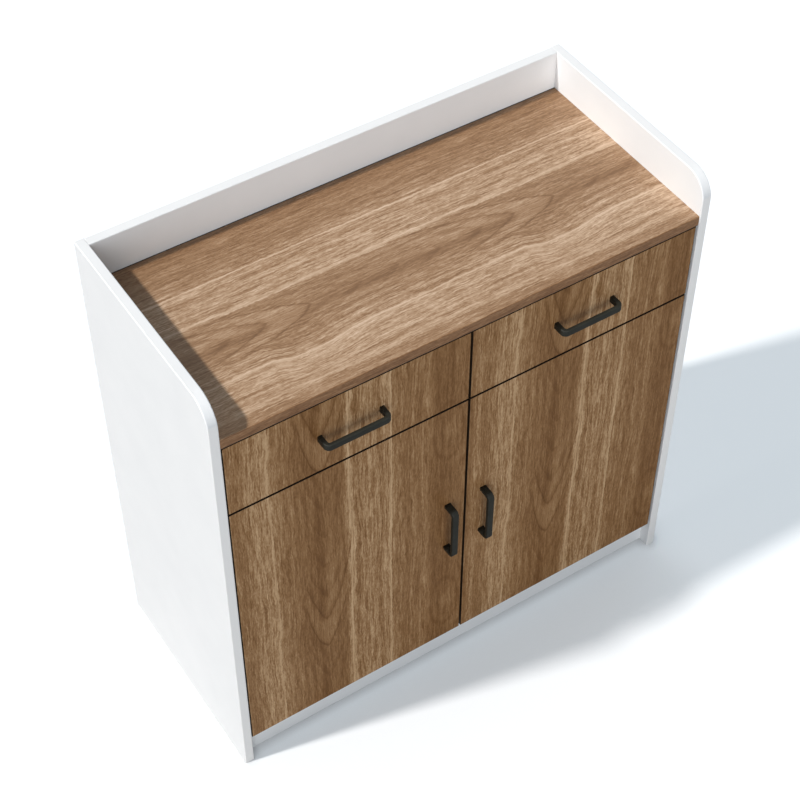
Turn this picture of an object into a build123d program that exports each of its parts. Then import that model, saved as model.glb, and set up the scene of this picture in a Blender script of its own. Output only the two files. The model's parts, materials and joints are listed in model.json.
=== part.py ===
from build123d import *
import math
import os

os.makedirs("parts", exist_ok=True)

# Overall size, in millimetres. X runs along the width, the front faces -Y, and Z is up from the floor.
cabinet_width = 800.0
cabinet_depth = 362.0
cabinet_height = 815.0
corner_radius = 40.0

# Boards
side_thickness = 15.0
inner_board_thickness = 15.0
countertop_thickness = 18.0
upstand_thickness = 15.0
front_thickness = 15.0
kick_thickness = 15.0
shelf_thickness = 15.0
back_panel_thickness = 3.0
edge_bevel = 1.0
front_edge_bevel = 0.6

# Heights: the upstand's above the countertop, the fronts' own, and the kick board's above the floor
upstand_rise = 65.0
drawer_front_height = 130.5
door_overhang = 3.0
kick_height = 60.0

# Gaps and set-backs
front_gap = 3.0
side_gap = 2.0
top_gap = 2.0
front_recess = 3.0
countertop_recess = 2.0
front_to_carcass_gap = 1.2
shelf_end_gap = 1.0
shelf_front_setback = 30.0
shelf_back_gap = 2.0
rear_plinth_inset = 30.0
groove_depth = 6.0
rebate_depth = 4.0
groove_end_gap = 0.5
groove_clearance = 0.1

# Handles
handle_hole_spacing = 96.0
handle_leg_thickness = 8.0
handle_bar_thickness = 7.0
handle_width = 12.0
handle_projection = 25.0
handle_outer_bend = 9.0
handle_inner_bend = 3.0
handle_edge_bevel = 1.2
door_handle_edge_distance = 30.0
door_handle_raise = 9.0
handle_screw_radius = 2.0
handle_screw_head_radius = 4.0
handle_screw_head_thickness = 2.2
handle_screw_grip = 9.0
handle_screw_clearance = 0.2

# Knock-down fittings
cam_radius = 7.5
cam_thickness = 11.5
cam_pocket_depth = 12.0
cam_distance = 34.0
cam_slot_width = 1.6
cam_slot_depth = 2.5
cam_bolt_radius = 3.0
cam_bolt_depth = 10.0
cam_bolt_hole_radius = 3.5
cam_inset = 45.0
dowel_radius = 4.0
dowel_depth_in_panel = 10.0
dowel_depth_in_board = 18.0
dowel_end_gap = 1.0
dowel_spacing = 32.0
fitting_clearance = 0.1
board_dowel_depth = 10.0

# Adjustable shelf
shelf_pin_radius = 2.5
shelf_pin_depth = 9.0
shelf_pin_reach = 8.0
shelf_pin_rows = 3
shelf_pin_pitch = 32.0
shelf_pin_front_inset = 60.0
shelf_pin_back_inset = 50.0

# Drawers
drawer_board_thickness = 12.0
drawer_bottom_thickness = 3.0
drawer_side_drop = 17.5
drawer_floor_gap = 7.0
drawer_groove_height = 10.0
drawer_groove_depth = 5.0
drawer_screw_radius = 2.0
drawer_screw_head_radius = 3.5
drawer_screw_head_depth = 2.5
drawer_screw_length = 32.0
drawer_screw_inset = 22.0
drawer_cam_distance = 24.0
drawer_cam_radius = 6.0
drawer_cam_thickness = 9.0
drawer_bolt_depth = 9.0
drawer_cam_height = 30.0

# Telescopic drawer slides, all three members
slide_back_gap = 26.8
slide_width = 12.7
slide_sheet = 1.5
slide_clearance = 0.4
slide_outer_half_height = 22.5
slide_outer_reach = 10.0
slide_lip = 2.5
slide_front_setback = 1.0
slide_hole_radius = 2.2
slide_hole_inset = 36.0

# Concealed cup hinges: u is measured from the side panel's inner face, v from the cabinet's front plane
hinge_axis_inset = 4.0
hinge_end_distance = 100.0
cup_edge_distance = 22.5
cup_radius = 17.5
cup_depth = 11.5
cup_wall = 1.0
cup_bore_clearance = 0.1
flange_radius = 19.5
flange_thickness = 1.0
flange_screw_spacing = 48.0
flange_half_width = 6.0
flange_ear_length = 6.0
flange_shoulder = 9.0
flange_screw_radius = 2.0
flange_screw_head_radius = 3.6
flange_screw_head_thickness = 0.9
flange_screw_depth = 10.0
cup_pin_radius = 1.2
cup_pin_u = 34.0
cup_pin_v = 11.0
nose_u = 26.5
nose_v = 12.4
nose_radius = 4.0
arm_back_v = 26.0
arm_plate_v = 44.0
arm_end_v = 80.0
arm_sheet = 2.6
arm_half_height = 7.5
arm_flange_sheet = 1.7
arm_flange_reach = 4.5
arm_bend_radius = 6.0
link_half_height = 5.0
link_sheet = 2.4
link_length = 12.0
link_tilt_degrees = -3.0
link_gap = 0.3
hinge_pin_radius = 1.5
running_clearance = 0.06
plate_rail_height = 8.0
plate_rail_half_width = 5.5
plate_rail_start_v = 40.0
plate_wing_thickness = 2.0
plate_wing_half_length = 22.0
plate_wing_start_v = 49.0
plate_wing_end_v = 61.0
plate_screw_radius = 2.0
plate_screw_head_radius = 4.0
plate_screw_head_thickness = 1.6
plate_screw_depth = 11.0
plate_screw_inset = 6.0

# Bumpers between the fronts and the carcass
bumper_radius = 2.4
bumper_thickness = 1.0
bumper_corner_inset = 22.0

# Small fasteners and their holes are bars with few sides; what shows has more
hidden_sides = 6
shown_sides = 8

# Cutting tools run past the face that they cut by this much
overrun = 2.0
touch = 0.01

# Planes and edges worked out from the sizes above
handle_reach = handle_projection - front_recess
front_y = handle_reach - (cabinet_depth + handle_reach) / 2
back_y = front_y + cabinet_depth
inner_half_width = cabinet_width / 2 - side_thickness
fronts_y = front_y + front_recess
fronts_back_y = fronts_y + front_thickness
carcass_y = fronts_back_y + front_to_carcass_gap
boards_back_y = back_y - upstand_thickness
countertop_height = cabinet_height - upstand_rise
countertop_under = countertop_height - countertop_thickness
drawer_front_top = countertop_under - top_gap
drawer_front_bottom = drawer_front_top - drawer_front_height
drawer_gap_height = drawer_front_bottom - front_gap / 2
door_bottom_height = kick_height - door_overhang
deck_under = drawer_gap_height - inner_board_thickness / 2
deck_top = deck_under + inner_board_thickness
bottom_top = kick_height + inner_board_thickness
door_top = drawer_gap_height - front_gap / 2
front_outer_x = inner_half_width - side_gap
front_inner_x = front_gap / 2
divider_half = inner_board_thickness / 2
opening_width = inner_half_width - divider_half
drawer_centre_x = divider_half + opening_width / 2
drawer_half_width = opening_width / 2 - slide_width
drawer_bottom_edge = deck_top + drawer_floor_gap
drawer_top_edge = drawer_front_top - drawer_side_drop
slide_length = boards_back_y - slide_back_gap - carcass_y - slide_front_setback
drawer_back_y = fronts_back_y + slide_length
slide_z = (drawer_bottom_edge + drawer_top_edge) / 2
shelf_z = (bottom_top + deck_under) / 2
cam_depths = (carcass_y + cam_inset, boards_back_y - cam_inset)
pin_depths = (carcass_y + shelf_pin_front_inset, boards_back_y - shelf_pin_back_inset)
hinge_heights = (door_bottom_height + hinge_end_distance, door_top - hinge_end_distance)
cam_boards = (
    (kick_height, inner_board_thickness),
    (deck_under, inner_board_thickness),
    (countertop_under, countertop_thickness),
)


def block(x_low, x_high, y_low, y_high, z_low, z_high):
    """A board between two corners."""
    size = (x_high - x_low, y_high - y_low, z_high - z_low)
    return Pos(x_low, y_low, z_low) * Box(*size, align=(Align.MIN, Align.MIN, Align.MIN))


def rod(radius, start, end):
    """A round bar or a drill between two points."""
    run = Vector(*end) - Vector(*start)
    plane = Plane(origin=start, z_dir=run)
    return plane * Cylinder(radius, run.length, align=(Align.CENTER, Align.CENTER, Align.MIN))


def peg(radius, start, end, sides=hidden_sides):
    """A small fastener or its hole between two points, as a bar with few sides."""
    run = Vector(*end) - Vector(*start)
    return Plane(origin=start, z_dir=run) * prism(RegularPolygon(radius, sides), 0, run.length)


def prism(outline, low, high):
    """An outline in the XY plane, raised between two heights."""
    return Pos(0, 0, low) * extrude(outline, amount=high - low, dir=(0, 0, 1))


def mirrored(shape):
    """The same piece for the other side of the cabinet."""
    return mirror(shape, about=Plane.YZ)


def group(pieces):
    """Separate solids that share one node."""
    return Compound(children=[solid for piece in pieces for solid in piece.solids()])


def cut_all(shape, tools):
    for tool in tools:
        shape = shape - tool
    return shape


def side_dowels():
    """Dowels of the boards that no cam holds, as the points where they cross the left panel's inner face."""
    face = -inner_half_width
    points = []
    kick_y = carcass_y + kick_thickness / 2
    plinth_y = boards_back_y - rear_plinth_inset + kick_thickness / 2
    kick_middle = kick_height / 2
    for y in (kick_y, plinth_y):
        points.append((face, y, kick_middle - dowel_spacing / 2))
        points.append((face, y, kick_middle + dowel_spacing / 2))
    upstand_middle = (countertop_under + cabinet_height) / 2
    upstand_y = boards_back_y + upstand_thickness / 2
    points.append((face, upstand_y, upstand_middle - dowel_spacing / 2))
    points.append((face, upstand_y, upstand_middle + dowel_spacing / 2))
    return points


def board_dowels():
    """Dowels between two inner boards: where each crosses the joint, and its direction."""
    divider = [((0, y, z), (0, 0, 1)) for y in cam_depths for z in (deck_top, countertop_under)]
    z = countertop_under + countertop_thickness / 2
    upstand = [((side * opening_width / 2, boards_back_y, z), (0, 1, 0)) for side in (-1, 1)]
    return divider + upstand


def side_dowel(point, margin):
    x, y, z = point
    start = (x - dowel_depth_in_panel - margin, y, z)
    end = (x + dowel_depth_in_board + margin, y, z)
    return peg(dowel_radius + (fitting_clearance if margin else 0), start, end)


def board_dowel(place, direction, margin):
    middle = Vector(*place)
    reach = Vector(*direction) * (board_dowel_depth + margin)
    radius = dowel_radius + (fitting_clearance if margin else 0)
    return peg(radius, tuple(middle - reach), tuple(middle + reach))


def side_dowel_holes():
    left = [side_dowel(point, dowel_end_gap) for point in side_dowels()]
    return left + [mirrored(hole) for hole in left]


def board_dowel_holes():
    return [board_dowel(place, direction, dowel_end_gap) for place, direction in board_dowels()]


def cam_seats():
    """Where each cam bolt of the left side crosses the panel's inner face, and its board's underside."""
    return [(y, low, thickness) for low, thickness in cam_boards for y in cam_depths]


def cam_bolt(seat):
    y, low, thickness = seat
    z = low + thickness / 2
    face = -inner_half_width
    end = face + cam_distance - cam_radius - fitting_clearance
    return peg(cam_bolt_radius, (face - cam_bolt_depth, y, z), (end, y, z))


def cam_lock(seat):
    y, low, thickness = seat
    x = -inner_half_width + cam_distance
    top = low + cam_thickness
    body = peg(cam_radius, (x, y, low), (x, y, top), shown_sides)
    slot = block(x - cam_radius, x + cam_radius, y - cam_slot_width / 2, y + cam_slot_width / 2, low,
                 low + cam_slot_depth)
    return body - slot


def cam_cuts(seat):
    """The bolt's hole through the panel and the board's end, and the cam's pocket from below."""
    y, low, thickness = seat
    z = low + thickness / 2
    face = -inner_half_width
    x = face + cam_distance
    in_panel = peg(cam_bolt_radius + fitting_clearance, (face - cam_bolt_depth, y, z), (face, y, z))
    in_board = peg(cam_bolt_hole_radius, (face, y, z), (x, y, z))
    pocket_top = (x, y, low + cam_pocket_depth)
    pocket = peg(cam_radius + fitting_clearance, (x, y, low - overrun), pocket_top, shown_sides)
    return [in_panel, in_board + pocket]


def board_cam_cuts():
    left = [cam_cuts(seat)[1] for seat in cam_seats()]
    return left + [mirrored(cut) for cut in left]


def shelf_pin_places():
    first = -(shelf_pin_rows - 1) / 2
    under = shelf_z - shelf_thickness / 2 - shelf_pin_radius
    return [(y, under + (first + row) * shelf_pin_pitch) for y in pin_depths for row in range(shelf_pin_rows)]


def side_panel():
    """The left side panel: a rounded outline, a groove for the back panel and the holes of what it carries."""
    outline = Polyline(
        (front_y, 0), (back_y, 0), (back_y, cabinet_height), (front_y, cabinet_height), close=True
    )
    face = make_face(outline)
    corner = face.vertices().sort_by(Axis.Y)[-2:].sort_by(Axis.X)[0]
    face = fillet(corner, corner_radius)
    outer = -cabinet_width / 2
    panel = Plane(origin=(outer, 0, 0), x_dir=(0, 1, 0), z_dir=(1, 0, 0)) * prism(face, 0, side_thickness)
    rims = panel.faces().sort_by(Axis.X)
    edges = rims[0].edges() + rims[-1].edges()
    shown = [e for e in edges if e.center().Z > touch and e.center().Y < back_y - touch]
    panel = chamfer(shown, edge_bevel)
    inner = -inner_half_width
    groove = block(inner - groove_depth, inner + overrun, boards_back_y - groove_clearance,
                   boards_back_y + back_panel_thickness + groove_clearance, kick_height,
                   countertop_under + groove_depth)
    pin_end = inner - shelf_pin_depth
    pins = [peg(shelf_pin_radius + fitting_clearance, (pin_end, y, z), (inner, y, z), shown_sides)
            for y, z in shelf_pin_places()]
    screws = [peg(plate_screw_radius + fitting_clearance, (inner - plate_screw_depth, y, z), (inner, y, z))
              for y, z in plate_screw_places()]
    bolts = [cam_cuts(seat)[0] for seat in cam_seats()]
    dowels = [side_dowel(point, dowel_end_gap) for point in side_dowels()]
    return cut_all(panel, [groove] + pins + screws + bolts + dowels)


def countertop():
    board = block(-inner_half_width, inner_half_width, front_y + countertop_recess, boards_back_y,
                  countertop_under, countertop_height)
    front_edges = board.edges().filter_by(Axis.X).sort_by(Axis.Y)[:2]
    return cut_all(chamfer(front_edges, edge_bevel), board_cam_cuts() + board_dowel_holes())


def back_upstand():
    """The upstand stands behind the countertop, with a rebate for the back panel's top edge."""
    board = block(-inner_half_width, inner_half_width, boards_back_y, back_y, countertop_under,
                  cabinet_height)
    board = chamfer(board.edges().filter_by(Axis.X).sort_by(Axis.Z)[-2:], edge_bevel)
    rebate = block(-inner_half_width, inner_half_width, boards_back_y - overrun,
                   boards_back_y + back_panel_thickness + groove_clearance, countertop_under - overrun,
                   countertop_under + rebate_depth)
    return cut_all(board, [rebate] + side_dowel_holes() + board_dowel_holes())


def back_panel():
    reach = inner_half_width + groove_depth - groove_end_gap
    return block(-reach, reach, boards_back_y, boards_back_y + back_panel_thickness,
                 kick_height + groove_end_gap, countertop_under + rebate_depth - groove_end_gap)


def inner_board(low):
    board = block(-inner_half_width, inner_half_width, carcass_y, boards_back_y, low,
                  low + inner_board_thickness)
    return cut_all(board, board_cam_cuts())


def drawer_deck():
    return cut_all(inner_board(deck_under), board_dowel_holes())


def centre_divider():
    board = block(-divider_half, divider_half, carcass_y, boards_back_y, deck_top, countertop_under)
    return cut_all(board, board_dowel_holes())


def floor_rail(y_low):
    """The kick board, and the rear plinth, which is the same board further back."""
    board = block(-inner_half_width, inner_half_width, y_low, y_low + kick_thickness, 0, kick_height)
    return cut_all(board, side_dowel_holes())


def adjustable_shelf():
    half = inner_half_width - shelf_end_gap
    shelf = block(-half, half, carcass_y + shelf_front_setback, boards_back_y - shelf_back_gap,
                  shelf_z - shelf_thickness / 2, shelf_z + shelf_thickness / 2)
    return chamfer(shelf.edges().filter_by(Axis.X).sort_by(Axis.Y)[:2], edge_bevel)


def shelf_pins():
    """Four pins in the middle row of holes, under the shelf."""
    z = shelf_z - shelf_thickness / 2 - shelf_pin_radius
    face = -inner_half_width
    left = [peg(shelf_pin_radius, (face - shelf_pin_depth, y, z), (face + shelf_pin_reach, y, z), shown_sides)
            for y in pin_depths]
    return left + [mirrored(pin) for pin in left]


def handle_holes(centre, along, depth_from, depth_to, radius, sides=hidden_sides):
    """Two bars or drills through a front at the handle's hole spacing; along is the bar's direction."""
    x, z = centre
    holes = []
    for end in (-1, 1):
        shift = end * handle_hole_spacing / 2
        place = (x + shift, z) if along == "x" else (x, z + shift)
        holes.append(peg(radius, (place[0], depth_from, place[1]), (place[0], depth_to, place[1]), sides))
    return holes


def handle(centre, along):
    """A bow handle: a flat bar bent to a U, with bevelled outer edges and two screw holes in its feet."""
    half = (handle_hole_spacing + handle_leg_thickness) / 2
    gap_half = half - handle_leg_thickness
    outer = make_face(Polyline((-half, 0), (half, 0), (half, -handle_projection), (-half, -handle_projection),
                               close=True))
    outer = fillet(outer.vertices().sort_by(Axis.Y)[:2], handle_outer_bend)
    inner_face = handle_projection - handle_bar_thickness
    inner = make_face(Polyline((-gap_half, 0), (gap_half, 0), (gap_half, -inner_face),
                               (-gap_half, -inner_face), close=True))
    inner = fillet(inner.vertices().sort_by(Axis.Y)[:2], handle_inner_bend)
    solid = prism(outer, -handle_width / 2, handle_width / 2)
    rims = solid.faces().sort_by(Axis.Z)
    edges = [e for e in rims[0].edges() + rims[-1].edges() if e.center().Y < -touch]
    bow = chamfer(edges, handle_edge_bevel) - prism(inner, -handle_width, handle_width)
    turn = Rot(0, 0, 0) if along == "x" else Rot(0, 90, 0)
    x, z = centre
    bow = Pos(x, fronts_y, z) * turn * bow
    threads = handle_holes(centre, along, fronts_y - handle_screw_grip - overrun, fronts_y,
                           handle_screw_radius + fitting_clearance)
    return cut_all(bow, threads)


def handle_screws(centre, along):
    shafts = handle_holes(centre, along, fronts_y - handle_screw_grip, fronts_back_y, handle_screw_radius)
    heads = handle_holes(centre, along, fronts_back_y, fronts_back_y + handle_screw_head_thickness,
                         handle_screw_head_radius, shown_sides)
    return [shaft + head for shaft, head in zip(shafts, heads)]


def front_board(x_low, x_high, z_low, z_high, centre, along):
    """A drawer front or a door with banded edges and the handle's two holes."""
    board = block(x_low, x_high, fronts_y, fronts_back_y, z_low, z_high)
    board = chamfer(board.faces().sort_by(Axis.Y)[0].edges(), front_edge_bevel)
    return cut_all(board, handle_holes(centre, along, fronts_y - overrun, fronts_back_y + overrun,
                                       handle_screw_radius + handle_screw_clearance))


def drawer_handle_centre():
    return (-(front_outer_x + front_inner_x) / 2, (drawer_front_bottom + drawer_front_top) / 2)


def door_handle_centre():
    z = (door_bottom_height + door_top) / 2 + door_handle_raise
    return (-front_inner_x - door_handle_edge_distance, z)


def drawer_groove_z():
    return drawer_bottom_edge + drawer_groove_height


def drawer_bottom_cut():
    """The groove that holds the drawer's bottom, as one slab that cuts every board it meets."""
    reach = drawer_half_width - drawer_board_thickness + drawer_groove_depth
    z = drawer_groove_z()
    return block(-drawer_centre_x - reach, -drawer_centre_x + reach, fronts_back_y - drawer_groove_depth,
                 drawer_back_y + overrun, z, z + drawer_bottom_thickness + groove_clearance)


def drawer_front_fixings():
    """The cam and the bolt at each end of the drawer front, as which drawer side and what height."""
    z_low = drawer_bottom_edge + drawer_cam_height
    z_high = drawer_top_edge - drawer_cam_height / 2
    return [(side, z) for side in (-1, 1) for z in (z_low, z_high)]


def drawer_cam(side, z, margin):
    """A cam set in the drawer side's inner face."""
    inner = -drawer_centre_x + side * (drawer_half_width - drawer_board_thickness)
    y = fronts_back_y + drawer_cam_distance
    start = (inner - side * margin, y, z)
    end = (inner + side * (drawer_cam_thickness + margin), y, z)
    return peg(drawer_cam_radius + (fitting_clearance if margin else 0), start, end)


def drawer_bolt(side, z, margin):
    """The bolt from the drawer front to the cam; its hole, which has a margin, runs on into the cam's."""
    x = -drawer_centre_x + side * (drawer_half_width - drawer_board_thickness / 2)
    cam_y = fronts_back_y + drawer_cam_distance
    end_y = cam_y if margin else cam_y - drawer_cam_radius - fitting_clearance
    return peg(drawer_screw_radius + (fitting_clearance if margin else 0),
               (x, fronts_back_y - drawer_bolt_depth - margin, z), (x, end_y, z))


def drawer_screw(side, z):
    """A screw through the drawer side into the end of the drawer's back."""
    outer = -drawer_centre_x + side * drawer_half_width
    y = drawer_back_y - drawer_board_thickness / 2
    head = peg(drawer_screw_head_radius, (outer, y, z), (outer - side * drawer_screw_head_depth, y, z))
    return head + peg(drawer_screw_radius, (outer, y, z), (outer - side * drawer_screw_length, y, z))


def drawer_screw_cut(side, z):
    outer = -drawer_centre_x + side * drawer_half_width
    y = drawer_back_y - drawer_board_thickness / 2
    head = peg(drawer_screw_head_radius + fitting_clearance, (outer + side * overrun, y, z),
               (outer - side * drawer_screw_head_depth, y, z))
    end = (outer - side * (drawer_screw_length + dowel_end_gap), y, z)
    return head + peg(drawer_screw_radius + fitting_clearance, (outer, y, z), end)


def drawer_screw_heights():
    low = drawer_groove_z() + drawer_bottom_thickness + drawer_screw_inset
    return (low, drawer_top_edge - drawer_screw_inset)


def drawer_cuts():
    cuts = [drawer_bottom_cut()]
    for side, z in drawer_front_fixings():
        cuts += [drawer_cam(side, z, fitting_clearance), drawer_bolt(side, z, fitting_clearance)]
    for side in (-1, 1):
        cuts += [drawer_screw_cut(side, z) for z in drawer_screw_heights()]
    return cuts


def drawer_fixings():
    """Cams and bolts at the front, screws at the back."""
    pieces = []
    for side, z in drawer_front_fixings():
        pieces += [drawer_cam(side, z, 0), drawer_bolt(side, z, 0)]
    for side in (-1, 1):
        pieces += [drawer_screw(side, z) for z in drawer_screw_heights()]
    return pieces


def drawer_side(side):
    outer = -drawer_centre_x + side * drawer_half_width
    inner = outer - side * drawer_board_thickness
    board = block(min(outer, inner), max(outer, inner), fronts_back_y, drawer_back_y, drawer_bottom_edge,
                  drawer_top_edge)
    return cut_all(board, drawer_cuts())


def drawer_back():
    half = drawer_half_width - drawer_board_thickness
    low = drawer_groove_z() + drawer_bottom_thickness + groove_clearance
    board = block(-drawer_centre_x - half, -drawer_centre_x + half, drawer_back_y - drawer_board_thickness,
                  drawer_back_y, low, drawer_top_edge)
    return cut_all(board, drawer_cuts())


def drawer_bottom():
    reach = drawer_half_width - drawer_board_thickness + drawer_groove_depth - groove_end_gap
    z = drawer_groove_z()
    return block(-drawer_centre_x - reach, -drawer_centre_x + reach,
                 fronts_back_y - drawer_groove_depth + groove_end_gap, drawer_back_y, z,
                 z + drawer_bottom_thickness)


def drawer_front():
    board = front_board(-front_outer_x, -front_inner_x, drawer_front_bottom, drawer_front_top,
                        drawer_handle_centre(), "x")
    return cut_all(board, drawer_cuts())


def lipped_channel(web, reach, half_height, lip):
    """Half of a C section with lips turned inwards, from its middle outwards; x grows away from the web."""
    inside = half_height - slide_sheet
    return [(web, half_height), (reach, half_height), (reach, inside - lip),
            (reach - slide_sheet, inside - lip), (reach - slide_sheet, inside), (web + slide_sheet, inside)]


def footed_channel(web, foot, half_height, foot_height):
    """Half of the inner member's section: a web at the drawer, flanges, and feet turned outwards."""
    inside = half_height - slide_sheet
    return [(web, half_height), (foot + slide_sheet, half_height), (foot + slide_sheet, foot_height),
            (foot, foot_height), (foot, inside), (web - slide_sheet, inside)]


def slide_sections():
    """The three nested sections, each a clearance away from the next."""
    outer = lipped_channel(0, slide_outer_reach, slide_outer_half_height, slide_lip)
    middle_half = slide_outer_half_height - slide_sheet - slide_clearance
    middle_web = slide_sheet + slide_clearance
    middle_reach = slide_outer_reach - slide_sheet - slide_clearance
    middle = lipped_channel(middle_web, middle_reach, middle_half, slide_lip)
    foot = middle_reach - slide_sheet * 2 - slide_clearance
    foot_height = middle_half - slide_sheet - slide_clearance
    inner = footed_channel(slide_width, foot, foot_height - slide_lip, foot_height)
    return {"outer": outer, "middle": middle, "inner": inner}


def slide_member(name, side):
    """One member of the slide on the left or the right of the left drawer's opening."""
    half = slide_sections()[name]
    points = half + [(x, -z) for x, z in reversed(half)]
    section = make_face(Polyline(*points, close=True))
    wall = -inner_half_width if side < 0 else -divider_half
    start_y = carcass_y + slide_front_setback
    plane = Plane(origin=(wall, start_y, slide_z), x_dir=(-side, 0, 0), z_dir=(0, 1, 0))
    member = plane * prism(section, 0, slide_length)
    if name == "middle":
        return member
    web = wall if name == "outer" else wall - side * slide_width
    holes = [peg(slide_hole_radius, (web - overrun, y, slide_z), (web + overrun, y, slide_z))
             for y in (start_y + slide_hole_inset, start_y + slide_length - slide_hole_inset)]
    return cut_all(member, holes)


def hinge_point(u, v):
    """A point of the left hinge's plan view."""
    return (-inner_half_width + u, front_y + v)


def plate_screw_places():
    v = (plate_wing_start_v + plate_wing_end_v) / 2
    reach = plate_wing_half_length - plate_screw_inset
    return [(front_y + v, z + end * reach) for z in hinge_heights for end in (-1, 1)]


def cup_centre():
    return hinge_point(side_gap + cup_edge_distance, front_recess + front_thickness)


def cup_places():
    x, y = cup_centre()
    return [(x, y, z) for z in hinge_heights]


def flange_screw_places():
    x, y = cup_centre()
    return [(x, y, z + end * flange_screw_spacing / 2) for z in hinge_heights for end in (-1, 1)]


def flange_outline():
    """The cup's flange: wide beside the cup and narrow at the ears that take its screws."""
    ear_end = flange_screw_spacing / 2 + flange_ear_length
    right = [(flange_half_width, -ear_end), (flange_radius, -flange_shoulder),
             (flange_radius, flange_shoulder), (flange_half_width, ear_end)]
    left = [(-x, z) for x, z in reversed(right)]
    return make_face(Polyline(*right, *left, close=True))


def hinge_cup(place):
    """The cup in the door's bore, with its flange on the door's back and the pin across its mouth."""
    x, y, z = place
    shell = rod(cup_radius, (x, y - cup_depth, z), (x, y, z))
    hollow = rod(cup_radius - cup_wall, (x, y - cup_depth + cup_wall, z), (x, y + overrun, z))
    plane = Plane(origin=(x, y, z), x_dir=(1, 0, 0), z_dir=(0, 1, 0))
    cup = shell + plane * prism(flange_outline(), 0, flange_thickness) - hollow
    for end in (-1, 1):
        screw_z = z + end * flange_screw_spacing / 2
        cup = cup - peg(flange_screw_radius + fitting_clearance, (x, y - overrun, screw_z),
                        (x, y + flange_thickness + overrun, screw_z))
    pin_x, pin_y = hinge_point(cup_pin_u, cup_pin_v)
    reach = math.sqrt((cup_radius - cup_wall / 2) ** 2 - (abs(x - pin_x) + cup_pin_radius) ** 2)
    return cup + peg(cup_pin_radius, (pin_x, pin_y, z - reach), (pin_x, pin_y, z + reach))


def flange_screws():
    screws = []
    for x, y, z in flange_screw_places():
        face = y + flange_thickness
        shaft = peg(flange_screw_radius, (x, y - flange_screw_depth, z), (x, face, z))
        head_end = (x, face + flange_screw_head_thickness, z)
        screws.append(shaft + peg(flange_screw_head_radius, (x, face, z), head_end, shown_sides))
    return screws


def hinge_nose():
    return hinge_point(nose_u, nose_v)


def link_outline():
    """The link in plan: an eye around the arm's pin and a strap into the cup."""
    x, y = hinge_nose()
    turn = math.radians(link_tilt_degrees)
    end = (x - link_length * math.cos(turn), y + link_length * math.sin(turn))
    strap = trace(Line((x, y), end), line_width=link_sheet)
    eye = Pos(x, y) * RegularPolygon(nose_radius - link_gap * 2, shown_sides)
    return eye + strap - Pos(x, y) * Circle(hinge_pin_radius + running_clearance)


def hinge_link(z):
    return prism(link_outline(), z - link_half_height, z + link_half_height)


def hinge_arm(z):
    """The arm: a bent strap that ends in a fork, with side flanges over the mounting plate's rail."""
    x, y = hinge_nose()
    strap_u = plate_rail_height + running_clearance + arm_sheet / 2
    route = FilletPolyline((x, y), hinge_point(nose_u, arm_back_v), hinge_point(strap_u, arm_plate_v),
                           hinge_point(strap_u, arm_end_v), radius=arm_bend_radius)
    strap = trace(route.edges(), line_width=arm_sheet)
    outline = strap + Pos(x, y) * RegularPolygon(nose_radius, shown_sides)
    low_x, low_y = hinge_point(plate_rail_height - arm_flange_reach, arm_plate_v)
    high_x, high_y = hinge_point(strap_u, arm_end_v)
    arm = prism(outline, z - arm_half_height, z + arm_half_height)
    arm = arm + block(low_x, high_x, low_y, high_y, z - arm_half_height, z + arm_half_height)
    hollow_half = arm_half_height - arm_flange_sheet
    under_x, under_y = hinge_point(strap_u - arm_sheet / 2, arm_end_v)
    arm = arm - block(low_x - overrun, under_x, low_y - overrun, high_y + overrun, z - hollow_half,
                      z + hollow_half)
    room = nose_radius + link_gap
    fork_half = link_half_height + link_gap
    fork = block(x - room, x + room, y - room, y + room, z - fork_half, z + fork_half)
    return arm - fork + rod(hinge_pin_radius, (x, y, z - arm_half_height), (x, y, z + arm_half_height))


def mounting_plate(z):
    """A cross-shaped plate on the side panel: a rail for the arm and two wings for its screws."""
    x, rail_y = hinge_point(0, plate_rail_start_v)
    rail_end = hinge_point(0, arm_end_v)[1]
    rail = block(x, x + plate_rail_height, rail_y, rail_end, z - plate_rail_half_width,
                 z + plate_rail_half_width)
    wing_y = hinge_point(0, plate_wing_start_v)[1]
    wing_end = hinge_point(0, plate_wing_end_v)[1]
    wings = block(x, x + plate_wing_thickness, wing_y, wing_end, z - plate_wing_half_length,
                  z + plate_wing_half_length)
    plate = rail + wings
    middle_y = (wing_y + wing_end) / 2
    for end in (-1, 1):
        screw_z = z + end * (plate_wing_half_length - plate_screw_inset)
        plate = plate - peg(plate_screw_radius + fitting_clearance, (x - overrun, middle_y, screw_z),
                            (x + plate_wing_thickness + overrun, middle_y, screw_z))
    return plate


def plate_screws():
    face = -inner_half_width + plate_wing_thickness
    screws = []
    for y, z in plate_screw_places():
        shaft = peg(plate_screw_radius, (-inner_half_width - plate_screw_depth, y, z), (face, y, z))
        head_end = (face + plate_screw_head_thickness, y, z)
        screws.append(shaft + peg(plate_screw_head_radius, (face, y, z), head_end, shown_sides))
    return screws + [mirrored(screw) for screw in screws]


def door_panel():
    board = front_board(-front_outer_x, -front_inner_x, door_bottom_height, door_top, door_handle_centre(),
                        "z")
    bore_depth = cup_depth + cup_bore_clearance
    bores = [rod(cup_radius + cup_bore_clearance, (x, y - bore_depth, z), (x, y + overrun, z))
             for x, y, z in cup_places()]
    pilot_radius = flange_screw_radius + fitting_clearance
    pilots = [peg(pilot_radius, (x, y - flange_screw_depth, z), (x, y + overrun, z))
              for x, y, z in flange_screw_places()]
    return cut_all(board, bores + pilots)


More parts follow.
